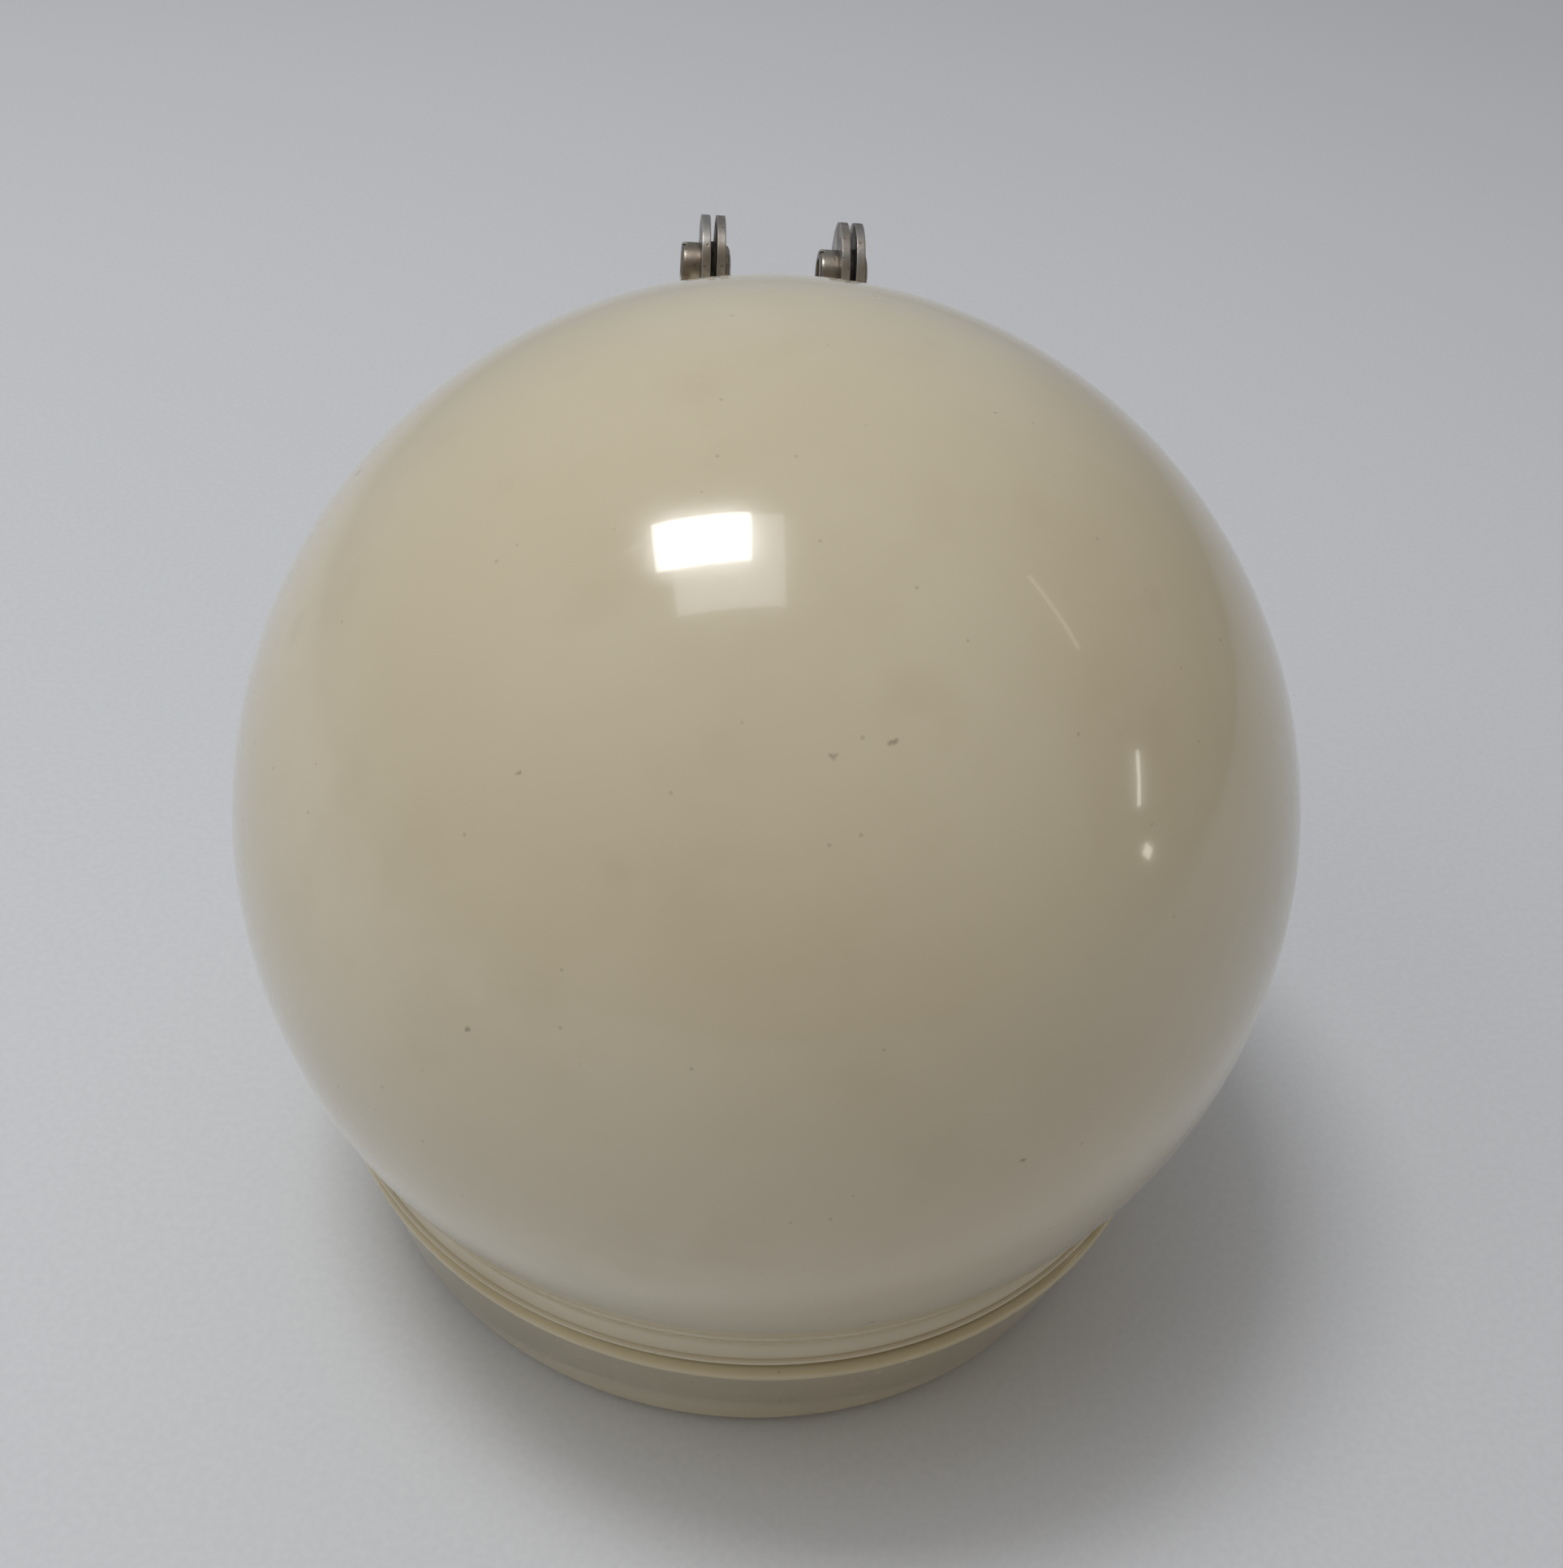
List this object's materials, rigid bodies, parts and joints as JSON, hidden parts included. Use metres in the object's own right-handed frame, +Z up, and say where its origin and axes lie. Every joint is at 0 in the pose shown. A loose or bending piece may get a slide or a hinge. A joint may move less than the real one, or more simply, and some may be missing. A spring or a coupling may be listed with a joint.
{
  "type": "hinged ball case",
  "caption": "Glossy cream cue-ball-shaped case: a hollow ball lid on twin-plate steel hinges swings up from a shallow weighted base bowl.",
  "frame": {"origin": "on the surface that the case stands on, at the centre of its foot pad", "axes": "+Z up; the front, where the lid opens, looks along -Y; the hinges are at +Y, behind the ball; the pivot axis runs along X"},
  "size_m": [0.14, 0.1505, 0.1322],
  "materials": {
    "cream_plastic": "high gloss cream, yellowed, with a few small dark specks",
    "inner_plastic": "satin cream moulding",
    "felt": "green felt",
    "ballast_iron": "rough cast",
    "pad_rubber": "black moulded rubber",
    "washer_steel": "dark oiled steel",
    "plate_steel": "aged nickel-plated sheet steel, slightly brown",
    "bolt_steel": "aged turned steel with brown tarnish"
  },
  "bodies": {
    "base": {"base_bowl": "cream_plastic", "hinge_arm_left": "plate_steel", "hinge_arm_right": "plate_steel", "arm_backing_plate": "plate_steel", "arm_screws": "bolt_steel", "arm_nuts": "bolt_steel", "pivot_bolt_left": "bolt_steel", "pivot_bolt_right": "bolt_steel", "pivot_nut_left": "bolt_steel", "pivot_nut_right": "bolt_steel", "friction_washers": "washer_steel", "base_tray": "inner_plastic", "tray_felt": "felt", "ballast_plate": "ballast_iron", "ballast_screws": "bolt_steel", "foot_pad": "pad_rubber", "lid_bumpers": "pad_rubber"},
    "lid": {"lid_shell": "cream_plastic", "hinge_ear_left": "plate_steel", "hinge_ear_right": "plate_steel", "ear_backing_plate": "plate_steel", "ear_screws": "bolt_steel", "ear_nuts": "bolt_steel"}
  },
  "joints": [
    {"name": "lid_tilt", "type": "hinge", "parent": "base", "child": "lid", "pos_m": [0, 0.05707, 0.11359], "axis": [-1, 0, 0], "range_deg": [0, 75]}
  ]
}
